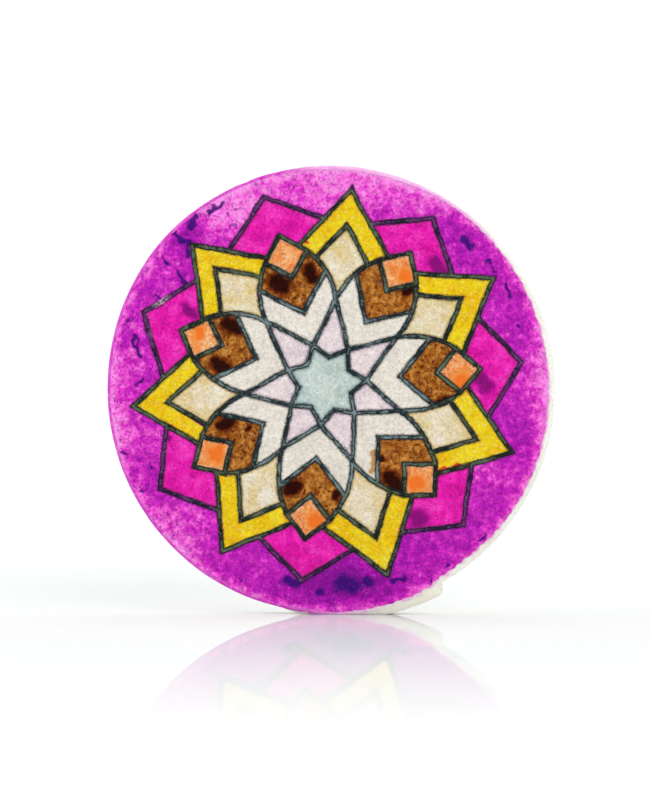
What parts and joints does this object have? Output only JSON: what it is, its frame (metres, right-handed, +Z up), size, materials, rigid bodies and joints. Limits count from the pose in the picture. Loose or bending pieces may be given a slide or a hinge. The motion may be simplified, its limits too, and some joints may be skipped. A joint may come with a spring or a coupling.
{
  "type": "round ink stick",
  "caption": "Round pale ink cake standing on its rim, a drawn rosette on its face filled in with patches of coloured ink.",
  "frame": {"origin": "on the standing surface, under the middle of the disc", "axes": "+Z up, +X to the right across the decorated face, which looks along -Y; +Y through the thickness to the plain back"},
  "size_m": [0.0608, 0.0071, 0.0611],
  "materials": {
    "pale_body": "rubbed, faintly translucent, crystalline",
    "line_ink": "glossy dried line",
    "grey_ink": "thin wash over crystal grain",
    "violet_ink": "mottled wash over crystal grain",
    "lilac_ink": "thin wash over crystal grain",
    "cream_ink": "thin wash over crystal grain",
    "brown_ink": "mottled wash over crystal grain",
    "orange_ink": "mottled wash over crystal grain",
    "beige_ink": "thin wash over crystal grain",
    "yellow_ink": "mottled wash over crystal grain",
    "magenta_ink": "mottled wash over crystal grain"
  },
  "bodies": {
    "root": {"disc_body": "pale_body", "line_work": "line_ink", "centre_star": "grey_ink", "outer_field": "violet_ink", "lilac_kite_1": "lilac_ink", "lilac_kite_2": "lilac_ink", "lilac_kite_3": "lilac_ink", "lilac_kite_4": "lilac_ink", "lilac_kite_5": "lilac_ink", "lilac_kite_6": "lilac_ink", "lilac_kite_7": "lilac_ink", "cream_petal_1": "cream_ink", "cream_petal_2": "cream_ink", "cream_petal_3": "cream_ink", "cream_petal_4": "cream_ink", "cream_petal_5": "cream_ink", "cream_petal_6": "cream_ink", "cream_petal_7": "cream_ink", "brown_square_1": "brown_ink", "brown_square_2": "brown_ink", "brown_square_3": "brown_ink", "brown_square_4": "brown_ink", "brown_square_5": "brown_ink", "brown_square_6": "brown_ink", "brown_square_7": "brown_ink", "orange_square_1": "orange_ink", "orange_square_2": "orange_ink", "orange_square_3": "orange_ink", "orange_square_4": "orange_ink", "orange_square_5": "orange_ink", "orange_square_6": "orange_ink", "orange_square_7": "orange_ink", "beige_kite_1": "beige_ink", "beige_kite_2": "beige_ink", "beige_kite_3": "beige_ink", "beige_kite_4": "beige_ink", "beige_kite_5": "beige_ink", "beige_kite_6": "beige_ink", "beige_kite_7": "beige_ink", "yellow_point_1": "yellow_ink", "yellow_point_2": "yellow_ink", "yellow_point_3": "yellow_ink", "yellow_point_4": "yellow_ink", "yellow_point_5": "yellow_ink", "yellow_point_6": "yellow_ink", "yellow_point_7": "yellow_ink", "magenta_point_1": "magenta_ink", "magenta_point_2": "magenta_ink", "magenta_point_3": "magenta_ink", "magenta_point_4": "magenta_ink", "magenta_point_5": "magenta_ink", "magenta_point_6": "magenta_ink", "magenta_point_7": "magenta_ink"}
  },
  "joints": []
}
